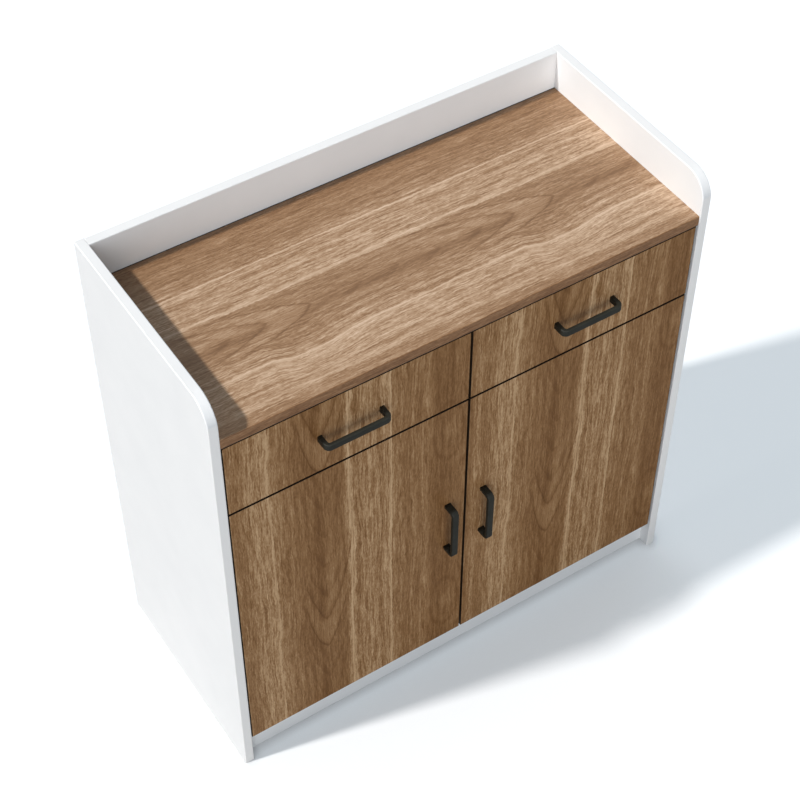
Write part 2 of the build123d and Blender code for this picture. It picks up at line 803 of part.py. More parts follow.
def bumpers():
    """Soft dots on the carcass edges behind each front's corners."""
    door_low = (kick_height + bottom_top) / 2
    door_high = (deck_under + door_top) / 2
    drawer_low = (drawer_front_bottom + deck_top) / 2
    x = front_inner_x + bumper_corner_inset
    outer_x = front_outer_x - bumper_corner_inset
    places = [(x, door_low), (x, door_high), (x, drawer_low), (outer_x, drawer_low)]
    left = [peg(bumper_radius, (-px, carcass_y - bumper_thickness, z), (-px, carcass_y, z), shown_sides)
            for px, z in places]
    return left + [mirrored(dot) for dot in left]


def carcass_nodes():
    left_panel = side_panel()
    left_cams = [cam_lock(seat) for seat in cam_seats()]
    left_bolts = [cam_bolt(seat) for seat in cam_seats()]
    left_dowels = [side_dowel(point, 0) for point in side_dowels()]
    plates = [mounting_plate(z) for z in hinge_heights]
    return {
        "left_side_panel": left_panel,
        "right_side_panel": mirrored(left_panel),
        "countertop": countertop(),
        "back_upstand": back_upstand(),
        "back_panel": back_panel(),
        "bottom_panel": inner_board(kick_height),
        "drawer_deck": drawer_deck(),
        "centre_divider": centre_divider(),
        "kick_board": floor_rail(carcass_y),
        "rear_plinth": floor_rail(boards_back_y - rear_plinth_inset),
        "adjustable_shelf": adjustable_shelf(),
        "shelf_pins": group(shelf_pins()),
        "cam_locks": group(left_cams + [mirrored(cam) for cam in left_cams]),
        "cam_bolts": group(left_bolts + [mirrored(bolt) for bolt in left_bolts]),
        "dowels": group(left_dowels + [mirrored(dowel) for dowel in left_dowels]
                        + [board_dowel(place, direction, 0) for place, direction in board_dowels()]),
        "front_bumpers": group(bumpers()),
        "hinge_mounting_plates": group(plates + [mirrored(plate) for plate in plates]),
        "hinge_plate_screws": group(plate_screws()),
    }


def drawer_nodes():
    """The left drawer and its slides; the names start with the drawer's side."""
    centre = drawer_handle_centre()
    return {
        "drawer_front": drawer_front(),
        "drawer_outboard_side": drawer_side(-1),
        "drawer_inboard_side": drawer_side(1),
        "drawer_back": drawer_back(),
        "drawer_bottom": drawer_bottom(),
        "drawer_fixings": group(drawer_fixings()),
        "drawer_handle": handle(centre, "x"),
        "drawer_handle_screws": group(handle_screws(centre, "x")),
        "drawer_outboard_slide_outer": slide_member("outer", -1),
        "drawer_inboard_slide_outer": slide_member("outer", 1),
        "drawer_outboard_slide_middle": slide_member("middle", -1),
        "drawer_inboard_slide_middle": slide_member("middle", 1),
        "drawer_outboard_slide_inner": slide_member("inner", -1),
        "drawer_inboard_slide_inner": slide_member("inner", 1),
    }


def door_nodes():
    centre = door_handle_centre()
    cups = [hinge_cup(place) for place in cup_places()]
    return {
        "door": door_panel(),
        "door_handle": handle(centre, "z"),
        "door_screws": group(handle_screws(centre, "z") + flange_screws()),
        "hinge_cups": group(cups),
        "hinge_links": group([hinge_link(z) for z in hinge_heights]),
        "lower_hinge_arm": hinge_arm(hinge_heights[0]),
        "upper_hinge_arm": hinge_arm(hinge_heights[1]),
    }


def both_sides(nodes):
    """Each piece of the left half, and its mirror image on the right."""
    pairs = {}
    for name, shape in nodes.items():
        pairs["left_" + name] = shape
        pairs["right_" + name] = mirrored(shape)
    return pairs


nodes = carcass_nodes()
nodes.update(both_sides(drawer_nodes()))
nodes.update(both_sides(door_nodes()))
for name, shape in nodes.items():
    export_step(shape, "parts/" + name + ".step")
print(len(nodes), "nodes")
print("left door axis at x, y:", -front_outer_x + hinge_axis_inset, fronts_y)
print("left hinge link axis at x, y:", *hinge_nose())
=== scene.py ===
import json
import math

import bpy
import numpy as np
from mathutils import Matrix, Vector

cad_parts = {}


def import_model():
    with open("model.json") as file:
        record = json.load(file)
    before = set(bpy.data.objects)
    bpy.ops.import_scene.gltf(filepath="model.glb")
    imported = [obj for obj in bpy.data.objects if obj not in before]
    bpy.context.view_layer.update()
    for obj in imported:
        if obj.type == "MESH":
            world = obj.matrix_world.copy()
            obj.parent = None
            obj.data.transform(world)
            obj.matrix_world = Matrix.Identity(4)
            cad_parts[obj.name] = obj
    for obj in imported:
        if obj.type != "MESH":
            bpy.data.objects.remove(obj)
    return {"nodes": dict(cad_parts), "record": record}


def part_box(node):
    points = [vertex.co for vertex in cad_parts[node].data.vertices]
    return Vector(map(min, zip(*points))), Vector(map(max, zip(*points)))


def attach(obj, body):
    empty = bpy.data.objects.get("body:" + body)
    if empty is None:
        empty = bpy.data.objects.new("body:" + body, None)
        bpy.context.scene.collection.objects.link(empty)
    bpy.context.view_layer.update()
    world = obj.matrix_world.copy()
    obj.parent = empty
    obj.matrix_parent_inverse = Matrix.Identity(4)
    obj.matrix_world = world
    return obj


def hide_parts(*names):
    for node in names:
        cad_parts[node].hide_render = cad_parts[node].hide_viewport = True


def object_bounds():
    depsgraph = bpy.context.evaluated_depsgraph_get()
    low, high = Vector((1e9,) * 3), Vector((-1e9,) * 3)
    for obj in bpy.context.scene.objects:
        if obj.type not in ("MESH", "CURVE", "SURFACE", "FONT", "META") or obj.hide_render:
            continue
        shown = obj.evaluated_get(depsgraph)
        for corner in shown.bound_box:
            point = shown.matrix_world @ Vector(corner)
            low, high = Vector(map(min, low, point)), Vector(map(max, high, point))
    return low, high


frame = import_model()
cad_low, cad_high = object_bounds()

# Lengths are in metres, in the cabinet's own frame: X along its width, its fronts face -Y, the floor is at 0

# The walnut print repeats at this length, along the grain and across it
print_repeat = 0.402

# Tone across the grain on the countertop, from 0, darkest, to 1, lightest: (distance from the back, tone)
countertop_streaks = [
    (0.000, 0.12), (0.018, 0.14), (0.042, 0.18), (0.057, 0.36), (0.061, 0.27), (0.082, 0.36), (0.090, 0.50),
    (0.1005, 0.46), (0.102, 0.98), (0.106, 0.76), (0.112, 0.64), (0.122, 0.62), (0.136, 0.80), (0.148, 0.62),
    (0.156, 0.70), (0.164, 0.90), (0.1675, 0.88), (0.170, 0.42), (0.182, 0.34), (0.200, 0.38), (0.218, 0.14),
    (0.240, 0.40), (0.269, 0.60), (0.2755, 0.54), (0.278, 0.96), (0.284, 0.76), (0.321, 0.72), (0.327, 0.58),
    (0.334, 0.92), (0.341, 0.66), (0.347, 0.44), (0.380, 0.34),
]
# The same print on the drawer fronts and doors: (distance to the left of the print's start, tone)
front_streaks = [
    (0.000, 0.12), (0.026, 0.18), (0.047, 0.42), (0.053, 0.32), (0.066, 0.42), (0.074, 0.28), (0.086, 0.46),
    (0.0985, 0.44), (0.1005, 0.96), (0.106, 0.72), (0.118, 0.54), (0.128, 0.58), (0.137, 0.74), (0.148, 0.52),
    (0.158, 0.48), (0.164, 0.74), (0.1685, 0.96), (0.173, 0.62), (0.178, 0.24), (0.190, 0.18), (0.204, 0.28),
    (0.224, 0.06), (0.252, 0.30), (0.285, 0.46), (0.290, 0.56), (0.2925, 0.98), (0.297, 0.68), (0.322, 0.66),
    (0.336, 0.46), (0.350, 0.40), (0.361, 0.54), (0.368, 0.26),
]
# A tone that neither darkens nor lightens, in the tables of the arches, the eye and the growth rings
even_tone = 0.5

# The dark heart's nested arches: (share of a repeat along the grain, tone)
heart_veins = [
    (0.000, 0.50), (0.060, 0.56), (0.120, 0.42), (0.128, 0.54), (0.215, 0.58), (0.285, 0.36), (0.293, 0.56),
    (0.350, 0.60), (0.408, 0.34), (0.420, 0.04), (0.430, 0.50), (0.470, 0.66), (0.560, 0.64), (0.580, 0.44),
    (0.591, 0.00), (0.601, 0.52), (0.660, 0.44), (0.730, 0.58), (0.795, 0.36), (0.803, 0.56), (0.900, 0.50),
    (0.946, 0.34), (0.953, 0.52),
]
# The heart's middle, and from there where the arches begin, are full, fade and are gone, across the grain
heart_across = 0.212
heart_span = (-0.047, -0.040, 0.022, 0.050)
heart_strength = 0.90
# An arch is carried back by powers of the distance from the heart's middle: (power, factor)
arch_powers = [(1.4, 9.0), (4.0, 16000.0)]

# The eye near the print's start, an oval with rings: (share of its radius, tone)
eye_rings = [
    (0.00, 0.85), (0.09, 0.78), (0.15, 0.52), (0.40, 0.50), (0.50, 0.24), (0.57, 0.52), (0.74, 0.48),
    (0.82, 0.36), (0.88, 0.52), (1.00, 0.50),
]
eye_along = 0.280
eye_across = 0.006
eye_radius = 0.05
eye_stretch = 2.4
eye_waver_share = 0.10
eye_strength = 0.6

# Growth rings: (share of a ring, tone). Of each kind, how many are in a repeat, how many rings noise shifts
# them by, and their share of the tone
ring_tones = [(0.00, 0.42), (0.14, 0.52), (0.66, 0.56), (0.84, 0.68), (0.93, 0.24), (1.00, 0.42)]
wide_ring_count = 46
wide_ring_swirl = 9.0
wide_ring_share = 0.6
fine_ring_count = 121
fine_ring_swirl = 18.0
fine_ring_stray = 3.0
fine_ring_share = 0.4
# How the rings' strength follows a noise: (noise from, to, strength from, to)
ring_strength_rise = (0.40, 0.64, 0.06, 0.42)

# The light streak beside the heart steps down next to the arches. These are the places along the grain and
# across it where the step begins, is full, fades and is gone
step_along = (0.138, 0.176, 0.205, 0.300)
step_across = (0.232, 0.262, 0.300, 0.345)

# Noise in the print: (waves in a repeat along the grain, waves across it, detail, roughness, its own place)
print_waves = {
    "long_sway": (2, 3, 1.0, 0.5, 0.0),
    "short_sway": (9, 9, 1.0, 0.5, 3.0),
    "ripple": (56, 40, 1.0, 0.5, 7.0),
    "waver": (6, 9, 1.0, 0.5, 6.0),
    "swirl": (3, 9, 1.0, 0.5, 11.0),
    "ring_strength": (4, 7, 1.0, 0.5, 13.0),
    "patch": (3, 16, 1.0, 0.5, 1.0),
    "streak": (3, 52, 0.0, 0.5, 2.0),
    "fibre": (4, 104, 0.0, 0.5, 4.0),
    "thread": (9, 170, 0.0, 0.5, 14.0),
    "hair": (20, 330, 0.0, 0.5, 12.0),
    "fleck": (72, 190, 1.0, 0.5, 8.0),
    "pore": (44, 330, 1.0, 0.4, 5.0),
}
# How far noise sways the grain and ripples it, and how far it shifts the arches along the grain
long_sway = 0.013
short_sway = 0.007
ripple_sway = 0.0030
arch_waver = 0.020
# Tone of the fibres: of broad patches, and of the fine layers
patch_strength = 0.26
fibre_strengths = {"streak": 0.45, "fibre": 0.62, "thread": 0.8, "hair": 1.2, "fleck": 1.0}
# How the fine layers and the light streaks' lift follow the tone: (tone from, to, strength from, to)
fibres_in_dark = (0.20, 0.62, 0.60, 1.05)
fibres_in_light = (0.82, 0.95, 1.0, 0.35)
light_lift = (0.84, 0.98, 0.0, 0.30)
# Pores open as their noise goes from the first value to the second
pore_opening = (0.60, 0.72)
pore_strength = 0.16
pore_depth = 0.5
# The laminate's relief and rounded edges, and its roughness, with what pores and flecks add to it
walnut_relief = 0.00010
walnut_edge = 0.0007
walnut_roughness = 0.46
pore_roughness = 0.12
fleck_roughness = 0.12

# The print's colours from its darkest tone to its lightest: (share of that range, colour)
darkest_tone = -0.5
lightest_tone = 1.5
walnut_colours = [
    (0.00, (0.130, 0.062, 0.022)),
    (0.25, (0.200, 0.101, 0.041)),
    (0.42, (0.292, 0.166, 0.080)),
    (0.50, (0.340, 0.203, 0.106)),
    (0.58, (0.400, 0.254, 0.144)),
    (0.75, (0.530, 0.364, 0.230)),
    (1.00, (0.700, 0.520, 0.360)),
]
# Painted shade: multiplied into the countertop's front edge to darken it
painted_edge_shade_tint = (0.80, 0.66, 0.50)
# Painted shade: the fronts' edges, inside the gaps, are this dark brown
painted_gap_shade_brown = (0.036, 0.021, 0.011)
# Painted shadow: near black lines along the gaps and along the upstand's foot
painted_gap_shadow = (0.006, 0.004, 0.003)

# Where the print starts on the fronts: this far above the floor, and this far left of the middle
print_start = 0.028

# Bands and lines along edges, where light or shade is painted: painted shade on the countertop's front edge,
# painted light on the side panels' front edges, painted shade on the fronts' edges in the gaps, and painted
# shadow lines along gaps and joints. Each pair is the two distances from the edge between which the soft side
# lies
painted_edge_band_side = (0.0004, 0.0010)
front_gap_shade_side = (0.0002, 0.0005)
rear_gap_shade_side = (0.0006, 0.0002)
under_top_gap_shadow_side = (0.0012, 0.0024)
upstand_foot_shadow_side = (0.0022, 0.0014)
gap_shadow_side = (0.0004, 0.0008)
outer_gap_shadow_side = (0.0012, 0.0008)
gap_shadow_depth_side = (0.0008, 0.0016)

# Most of a noise lies between these values
noise_low = 0.3
noise_high = 0.7


class Wire:
    """A socket among nodes. Arithmetic on wires and numbers adds Math nodes."""

    def __init__(self, nodes, socket):
        self.nodes = nodes
        self.socket = socket

    def work_out(self, operation, *others):
        """A Math node's operation on this wire and the others."""
        return self.nodes.maths(operation, self, *others)

    def __add__(self, other):
        return self.work_out("ADD", other)

    def __radd__(self, other):
        return self.work_out("ADD", other)

    def __sub__(self, other):
        return self.work_out("SUBTRACT", other)

    def __rsub__(self, other):
        return self.nodes.maths("SUBTRACT", other, self)

    def __mul__(self, other):
        return self.work_out("MULTIPLY", other)

    def __rmul__(self, other):
        return self.work_out("MULTIPLY", other)

    def __truediv__(self, other):
        return self.work_out("DIVIDE", other)

    def __rtruediv__(self, other):
        return self.nodes.maths("DIVIDE", other, self)

    def __pow__(self, other):
        return self.work_out("POWER", other)

    def __rpow__(self, other):
        return self.nodes.maths("POWER", other, self)

    def __abs__(self):
        return self.work_out("ABSOLUTE")

    def larger(self, other):
        """The larger of the two."""
        return self.work_out("MAXIMUM", other)

    def rise(self, low, high, start=0.0, end=1.0):
        """From start to end as the value goes from low to high, with soft ends."""
        return self.nodes.add(
            "ShaderNodeMapRange",
            {"interpolation_type": "SMOOTHSTEP"},
            {"Value": self, "From Min": low, "From Max": high, "To Min": start, "To Max": end},
        )

    def fall(self, low, high):
        """From 1 to 0 as the value goes from low to high, with soft ends."""
        return self.rise(low, high, 1.0, 0.0)

    def between(self, low, full, fading, gone):
        """0 up to low, 1 from full to fading, and 0 again from gone."""
        return self.rise(low, full) * self.fall(fading, gone)


class Nodes:
    """A node tree under construction."""

    def __init__(self, tree):
        self.tree = tree
        tree.nodes.clear()

    def add(self, kind, settings=None, values=None, output=0):
        """One node: its settings, then the values or wires of its inputs. Returns one of its outputs, where
        it has any."""
        node = self.tree.nodes.new(kind)
        for name, value in (settings or {}).items():
            if name == "stops":
                set_stops(node.color_ramp, value)
            else:
                setattr(node, name, value)
        for name, value in (values or {}).items():
            self.plug(value, node.inputs[name])
        return Wire(self, node.outputs[output]) if len(node.outputs) else None

    def plug(self, value, socket):
        """Links a wire to an input, or sets the input to a value."""
        if isinstance(value, Wire):
            self.tree.links.new(value.socket, socket)
        else:
            socket.default_value = value

    def maths(self, operation, *values):
        """A Math node on values and wires, in their order."""
        return self.add("ShaderNodeMath", {"operation": operation}, dict(enumerate(values)))


def set_stops(ramp, stops):
    """Gives a ramp its stops. A stop holds a colour, or one number for a tone."""
    while len(ramp.elements) > 1:
        ramp.elements.remove(ramp.elements[-1])
    for index, (place, value) in enumerate(stops):
        element = ramp.elements[0] if index == 0 else ramp.elements.new(place)
        element.position = place
        element.color = (*value, 1.0) if isinstance(value, tuple) else (value, value, value, 1.0)


class Finish(Nodes):
    """A material under construction, around one Principled surface."""

    def __init__(self, name, **constants):
        self.material = bpy.data.materials.new(name)
        self.material.use_nodes = True
        super().__init__(self.material.node_tree)
        shader = self.add("ShaderNodeBsdfPrincipled")
        self.surface = shader.socket.node
        self.add("ShaderNodeOutputMaterial", values={"Surface": shader})
        self.set(**constants)

    def set(self, **values):
        """Values or wires of the surface's inputs; an underscore stands for a space."""
        for name, value in values.items():
            self.plug(value, self.surface.inputs[name.replace("_", " ")])
        return self

    def place(self):
        """The point's own X, Y and Z on the piece."""
        point = self.add("ShaderNodeTexCoord", output="Object")
        split = self.add("ShaderNodeSeparateXYZ", values={0: point}).socket.node
        return [Wire(self, socket) for socket in split.outputs]

    def point(self, x, y, z):
        return self.add("ShaderNodeCombineXYZ", values={0: x, 1: y, 2: z})

    def noise(self, point, scale=1.0, detail=2.0, roughness=0.5):
        values = {"Vector": point, "Scale": scale, "Detail": detail, "Roughness": roughness}
        return self.add("ShaderNodeTexNoise", values=values)

    def ramp(self, value, stops):
        """A colour, or a tone where the stops hold single numbers, along the value from 0 to 1."""
        return self.add("ShaderNodeValToRGB", {"stops": stops}, {0: value})

    def blotches(self, noise, first, second):
        """The first colour where the noise is low, and the second where it is high."""
        return self.ramp(noise, [(noise_low, first), (noise_high, second)])

    def mix(self, share, first, second, blend="MIX"):
        """Blends two colours, each a wire or a tuple. A Mix node takes colours at its inputs 6 and 7, and
        gives one at its output 2."""
        first, second = [value if isinstance(value, Wire) else (*value, 1.0) for value in (first, second)]
        settings = {"data_type": "RGBA", "blend_type": blend}
        return self.add("ShaderNodeMix", settings, {0: share, 6: first, 7: second}, output=2)

    def bump(self, height, distance, strength=1.0, normal=None):
        values = {"Height": height, "Distance": distance, "Strength": strength}
        if normal is not None:
            values["Normal"] = normal
        return self.add("ShaderNodeBump", values=values)

    def rounded(self, radius):
        """A normal that rounds every sharp edge to this radius."""
        return self.add("ShaderNodeBevel", {"samples": 6}, {"Radius": radius})

    def hidden(self, reach):
        """From 0 in the open to 1 where surfaces within this reach hide the point."""
        return 1.0 - self.add("ShaderNodeAmbientOcclusion", {"samples": 8}, {"Distance": reach}, output="AO")


class Print:
    """Noise in the walnut print. It runs round a circle once in each repeat, both along the grain and across
    it, so that it closes on itself, and its number of waves sets each circle's size."""

    def __init__(self, finish, along, across):
        self.finish = finish
        self.turns = [wire * (math.tau / print_repeat) for wire in (along, across)]
        self.made = {}

    def noise(self, name):
        """The named noise, from 0 to 1, made when it is first asked for."""
        if name not in self.made:
            self.made[name] = self.make(*print_waves[name])
        return self.made[name]

    def swing(self, name):
        """The named noise, from -0.5 to 0.5."""
        return self.noise(name) - 0.5

    def make(self, waves_along, waves_across, detail, roughness, own_place):
        lap = []
        for turn, waves in zip(self.turns, (waves_along, waves_across)):
            radius = waves / math.tau
            lap += [turn.work_out("COSINE") * radius + own_place, turn.work_out("SINE") * radius]
        values = {"Vector": self.finish.point(*lap[:3]), "W": lap[3], "Scale": 1.0}
        values.update({"Detail": detail, "Roughness": roughness})
        return self.finish.add("ShaderNodeTexNoise", {"noise_dimensions": "4D"}, values)


def share_of_repeat(wire):
    """How far a distance has come in its repeat, from 0 to 1."""
    return (wire / print_repeat).work_out("FRACT")


def from_nearest(wire, place):
    """The signed distance from the nearest copy of a place in the repeating print."""
    gap = wire - place
    return gap - (gap / print_repeat).work_out("ROUND") * print_repeat


def wavy_grain(paper, along, across, waviness, jog):
    """The distance across the grain, swayed by waviness and rippled, and moved by jog where the streak beside
    the heart steps down."""
    lap = share_of_repeat(along) * print_repeat
    row = share_of_repeat(across) * print_repeat
    step = lap.between(*step_along) * row.between(*step_across) * jog
    sway = paper.swing("long_sway") * long_sway + paper.swing("short_sway") * short_sway
    return across + sway * waviness + paper.swing("ripple") * ripple_sway - step


def streaks_and_fibres(finish, grain, flow, streaks):
    """The streaks' tone, with fibres that are calmer in the dark and on the lightest streaks."""
    tone = finish.ramp(share_of_repeat(flow), [(place / print_repeat, value) for place, value in streaks])
    calm = tone.rise(*fibres_in_dark) * tone.rise(*fibres_in_light)
    patches = grain.swing("patch") * patch_strength
    fibres = sum(grain.swing(name) * strength for name, strength in fibre_strengths.items())
    return tone + tone.rise(*light_lift) + patches + fibres * calm


def growth_rings(finish, paper, grain, flow):
    """Wide and fine rings, whose strength changes from place to place."""
    swirl = paper.swing("swirl")
    stray = grain.swing("streak") * fine_ring_stray
    wide = flow * (wide_ring_count / print_repeat) + swirl * wide_ring_swirl
    fine = flow * (fine_ring_count / print_repeat) + swirl * fine_ring_swirl + stray
    wide_tone = finish.ramp(wide.work_out("FRACT"), ring_tones) * wide_ring_share
    fine_tone = finish.ramp(fine.work_out("FRACT"), ring_tones) * fine_ring_share
    strength = paper.noise("ring_strength").rise(*ring_strength_rise)
    return (wide_tone + fine_tone - even_tone) * strength


def heart_arches(finish, along, flow, waver):
    """Lines across the heart. Each is carried back by a sum of powers of the distance from the heart's
    middle, so that they nest as arches."""
    off_middle = from_nearest(flow, heart_across)
    aside = abs(off_middle)
    arch = sum(aside ** power * factor for power, factor in arch_powers)
    veins = finish.ramp(share_of_repeat(along + arch + waver), heart_veins)
    return (veins - even_tone) * off_middle.between(*heart_span) * heart_strength


def eye(finish, along, flow, waver):
    """Rings by the distance from the eye's middle, with its part along the grain divided by the stretch."""
    off_along = from_nearest(along, eye_along) / eye_stretch
    off_across = from_nearest(flow, eye_across)
    distance = (off_along * off_along + off_across * off_across).work_out("SQRT")
    rings = finish.ramp((distance + waver * eye_waver_share) / eye_radius, eye_rings)
    return (rings - even_tone) * eye_strength


def walnut(name, lie, streaks, gloss, tint, waviness, jog):
    """Walnut laminate. lie turns a point into distances along and across the grain, and into how much of it
    is
    painted shade: a darker band, a dark brown band in the gaps and a near black shadow line. streaks is the
    tone across the grain. tint multiplies the colours; it is painted light, set for each copy to cancel the
    colour of the lamps that fall on it. waviness and jog go to wavy_grain."""
    finish = Finish(name, Specular_IOR_Level=gloss)
    along, across, shaded, edge, line = lie(*finish.place())
    paper = Print(finish, along, across)
    flow = wavy_grain(paper, along, across, waviness, jog)
    grain = Print(finish, along, flow)
    waver = paper.swing("waver") * arch_waver
    pores = grain.noise("pore").rise(*pore_opening)

    tone = streaks_and_fibres(finish, grain, flow, streaks)
    tone = tone + growth_rings(finish, paper, grain, flow)
    tone = tone + heart_arches(finish, along, flow, waver)
    tone = tone + eye(finish, along, flow, waver)
    tone = tone - pores * pore_strength

    colour = finish.ramp((tone - darkest_tone) / (lightest_tone - darkest_tone), walnut_colours)
    # Painted light: each copy's tint cancels the colour of the lamps that fall on it
    colour = finish.mix(1.0, colour, tint, "MULTIPLY")
    # Painted shade: the countertop's front edge is darkened
    colour = finish.mix(shaded, colour, painted_edge_shade_tint, "MULTIPLY")
    # Painted shade: the fronts' edges turn dark brown, as shade in the gaps
    colour = finish.mix(edge, colour, painted_gap_shade_brown)
    # Painted shadow: near black lines along gaps and joints
    colour = finish.mix(line, colour, painted_gap_shadow)
    flecks = grain.swing("fleck")
    height = grain.swing("thread") + grain.swing("hair") + flecks - pores * pore_depth
    relief = finish.bump(height, distance=walnut_relief, normal=finish.rounded(walnut_edge))
    roughness = walnut_roughness + pores * pore_roughness + flecks * fleck_roughness
    return finish.set(Base_Color=colour, Roughness=roughness, Normal=relief).material


def past(edge, distances):
    """Places on an axis at these distances past an edge."""
    return [edge + distance for distance in distances]


def before(edge, distances):
    """Places on an axis at these distances before an edge."""
    return [edge - distance for distance in distances]


def countertop_lie(x, y, z):
    """Grain along X; across it, from the back forwards and then down the front edge, which has a band of
    painted shade over a painted dark shadow line for the gap beneath it. Another painted shadow line runs
    along the upstand's foot."""
    low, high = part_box("countertop")
    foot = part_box("back_upstand")[0].y
    # Painted shade: a darker band on the countertop's front edge
    shaded = y.fall(*past(low.y, painted_edge_band_side))
    # Painted shadows: a dark line at the foot of the front edge, over the gap above the drawers, and one at
    # the upstand's foot
    under_top_gap_shadow = z.fall(*past(low.z, under_top_gap_shadow_side))
    upstand_foot_shadow = y.rise(*before(foot, upstand_foot_shadow_side))
    return x, (cad_high.y + high.z) - y - z, shaded, 0.0, under_top_gap_shadow.larger(upstand_foot_shadow)


def front_lie(x, y, z):
    """Grain down the front; across it, from right to left. Painted shade: the edges round the face are dark
    brown, as shade in the gaps, and a painted dark shadow line lies beside each gap."""
    low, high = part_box("left_door")
    drawer_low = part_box("left_drawer_front")[0].z
    # Painted shade: the edges round the face, inside the gaps, turn dark brown
    edge = y.rise(*past(low.y, front_gap_shade_side)) * y.fall(*before(high.y, rear_gap_shade_side))
    off_middle = abs(x)
    off_level = abs(z - (drawer_low + high.z) / 2)
    # Painted shadows: dark lines beside the middle gap, along the outer edges and beside the gap between
    # drawers and doors
    middle_gap_shadow = off_middle.fall(*past(-high.x, gap_shadow_side))
    outer_gap_shadow = off_middle.rise(*before(-low.x, outer_gap_shadow_side))
    level_gap_shadow = off_level.fall(*past((drawer_low - high.z) / 2, gap_shadow_side))
    line = middle_gap_shadow.larger(outer_gap_shadow).larger(level_gap_shadow) * y.fall(*past(low.y, gap_shadow_depth_side))
    return print_start - z, -print_start - x, 0.0, edge, line


def white_laminate():
    """Satin white melamine: a faint mottle and a fine pebbled skin, with a soft edge. The side panels' front
    edges
    are painted lighter and warmer: painted light against the blue fill lamp they face."""
    finish = Finish("white_laminate")
    x, y, z = finish.place()
    point = finish.point(x, y, z)
    mottle = finish.noise(point, scale=14.0, detail=3.0)
    pebble = finish.noise(point, scale=1400.0)
    colour = finish.blotches(mottle, (0.848, 0.848, 0.846), (0.876, 0.875, 0.871))
    # Painted light: the side panels' front edges are lighter and warmer, against the blue fill lamp they face
    painted_edge_light = y.fall(*past(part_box("left_side_panel")[0].y, painted_edge_band_side))
    colour = finish.mix(painted_edge_light, colour, (0.950, 0.930, 0.905))
    skin = finish.bump(pebble, distance=0.000012, strength=0.6, normal=finish.rounded(0.0012))
    return finish.set(Base_Color=colour, Roughness=0.42 + pebble * 0.10, Normal=skin).material


def black_powder_coat():
    """Matt black powder coat with a fine grain."""
    finish = Finish("black_powder_coat", Specular_IOR_Level=0.25)
    point = finish.point(*finish.place())
    grain = finish.noise(point, scale=2600.0)
    cloud = finish.noise(point, scale=60.0)
    colour = finish.blotches(cloud, (0.013, 0.0135, 0.010), (0.019, 0.0195, 0.015))
    skin = finish.bump(grain, distance=0.00003, strength=0.5)
    return finish.set(Base_Color=colour, Roughness=0.46 + grain * 0.14, Normal=skin).material


def drawer_board():
    """Matt white melamine with a faint woven print: noise drawn out along Y and Z, and along X and Y."""
    finish = Finish("drawer_board")
    x, y, z = finish.place()
    fine, coarse = 3000.0, 60.0
    warp = finish.noise(finish.point(x * fine, y * coarse, z * coarse), detail=1.0)
    weft = finish.noise(finish.point(x * coarse, y * coarse, z * fine), detail=1.0)
    weave = warp + weft
    colour = finish.blotches(weave * 0.5, (0.70, 0.695, 0.675), (0.79, 0.785, 0.765))
    skin = finish.bump(weave, distance=0.00002, strength=0.5, normal=finish.rounded(0.0006))
    return finish.set(Base_Color=colour, Roughness=0.55 + weave * 0.05, Normal=skin).material


def hardboard():
    """Painted hardboard: a smooth pale face over pressed fibres."""
    finish = Finish("hardboard")
    fibres = finish.noise(finish.point(*finish.place()), scale=420.0, detail=4.0, roughness=0.6)
    colour = finish.blotches(fibres, (0.76, 0.76, 0.74), (0.83, 0.83, 0.815))
    skin = finish.bump(fibres, distance=0.00005, strength=0.6)
    return finish.set(Base_Color=colour, Roughness=0.5 + fibres * 0.2, Normal=skin).material


def bare_metal(name, tint, roughness, scale):
    """Plated or cast metal with a fine uneven gloss, and its darker patches at a share of its tint."""
    finish = Finish(name, Metallic=1.0)
    cloud = finish.noise(finish.point(*finish.place()), scale=scale, detail=3.0)
    patch_share = 0.86
    dark = tuple(part * patch_share for part in tint)
    skin = finish.bump(cloud, distance=0.00003, strength=0.4, normal=finish.rounded(0.0002))
    finish.set(Base_Color=finish.blotches(cloud, dark, tint), Roughness=cloud * 0.2 + roughness, Normal=skin)
    return finish.material


def beech():
    """Raw turned beech with short flecks along X."""
    finish = Finish("beech")
    x, y, z = finish.place()
    along, across = 120.0, 900.0
    fleck = finish.noise(finish.point(x * along, y * across, z * across), detail=3.0)
    colour = finish.blotches(fleck, (0.50, 0.33, 0.19), (0.66, 0.47, 0.29))
    return finish.set(Base_Color=colour, Roughness=0.6 + fleck * 0.2).material


def clear_bumper():
    """Soft translucent plastic."""
    finish = Finish("clear_bumper", Transmission_Weight=0.5)
    cloud = finish.noise(finish.point(*finish.place()), scale=500.0)
    colour = finish.blotches(cloud, (0.80, 0.81, 0.81), (0.88, 0.89, 0.89))
    return finish.set(Base_Color=colour, Roughness=0.25 + cloud * 0.2).material


finishes = {
    "white_laminate": white_laminate(),
    # Painted light: this copy's tint is bluer, to cancel the warm key lamp on the countertop
    "walnut_countertop": walnut(
        "walnut_countertop", countertop_lie, countertop_streaks,
        gloss=0.50, tint=(0.985, 0.985, 1.025), waviness=0.4, jog=0.009),
    # Painted light: this copy's tint is warmer and darker, to cancel the blue fill lamp on the fronts
    "walnut_front": walnut(
        "walnut_front", front_lie, front_streaks,
        gloss=0.12, tint=(1.0, 0.92, 0.78), waviness=0.8, jog=0.003),
    "black_handle": black_powder_coat(),
    "drawer_board": drawer_board(),
    "hardboard": hardboard(),
    "cast_zinc": bare_metal("cast_zinc", (0.56, 0.56, 0.56), roughness=0.42, scale=900.0),
    "beech": beech(),
    "clear_bumper": clear_bumper(),
    "zinc_plated_steel": bare_metal("zinc_plated_steel", (0.66, 0.68, 0.70), roughness=0.24, scale=300.0),
    "nickel_plated_steel": bare_metal("nickel_plated_steel", (0.70, 0.68, 0.64), roughness=0.20, scale=300.0),
}
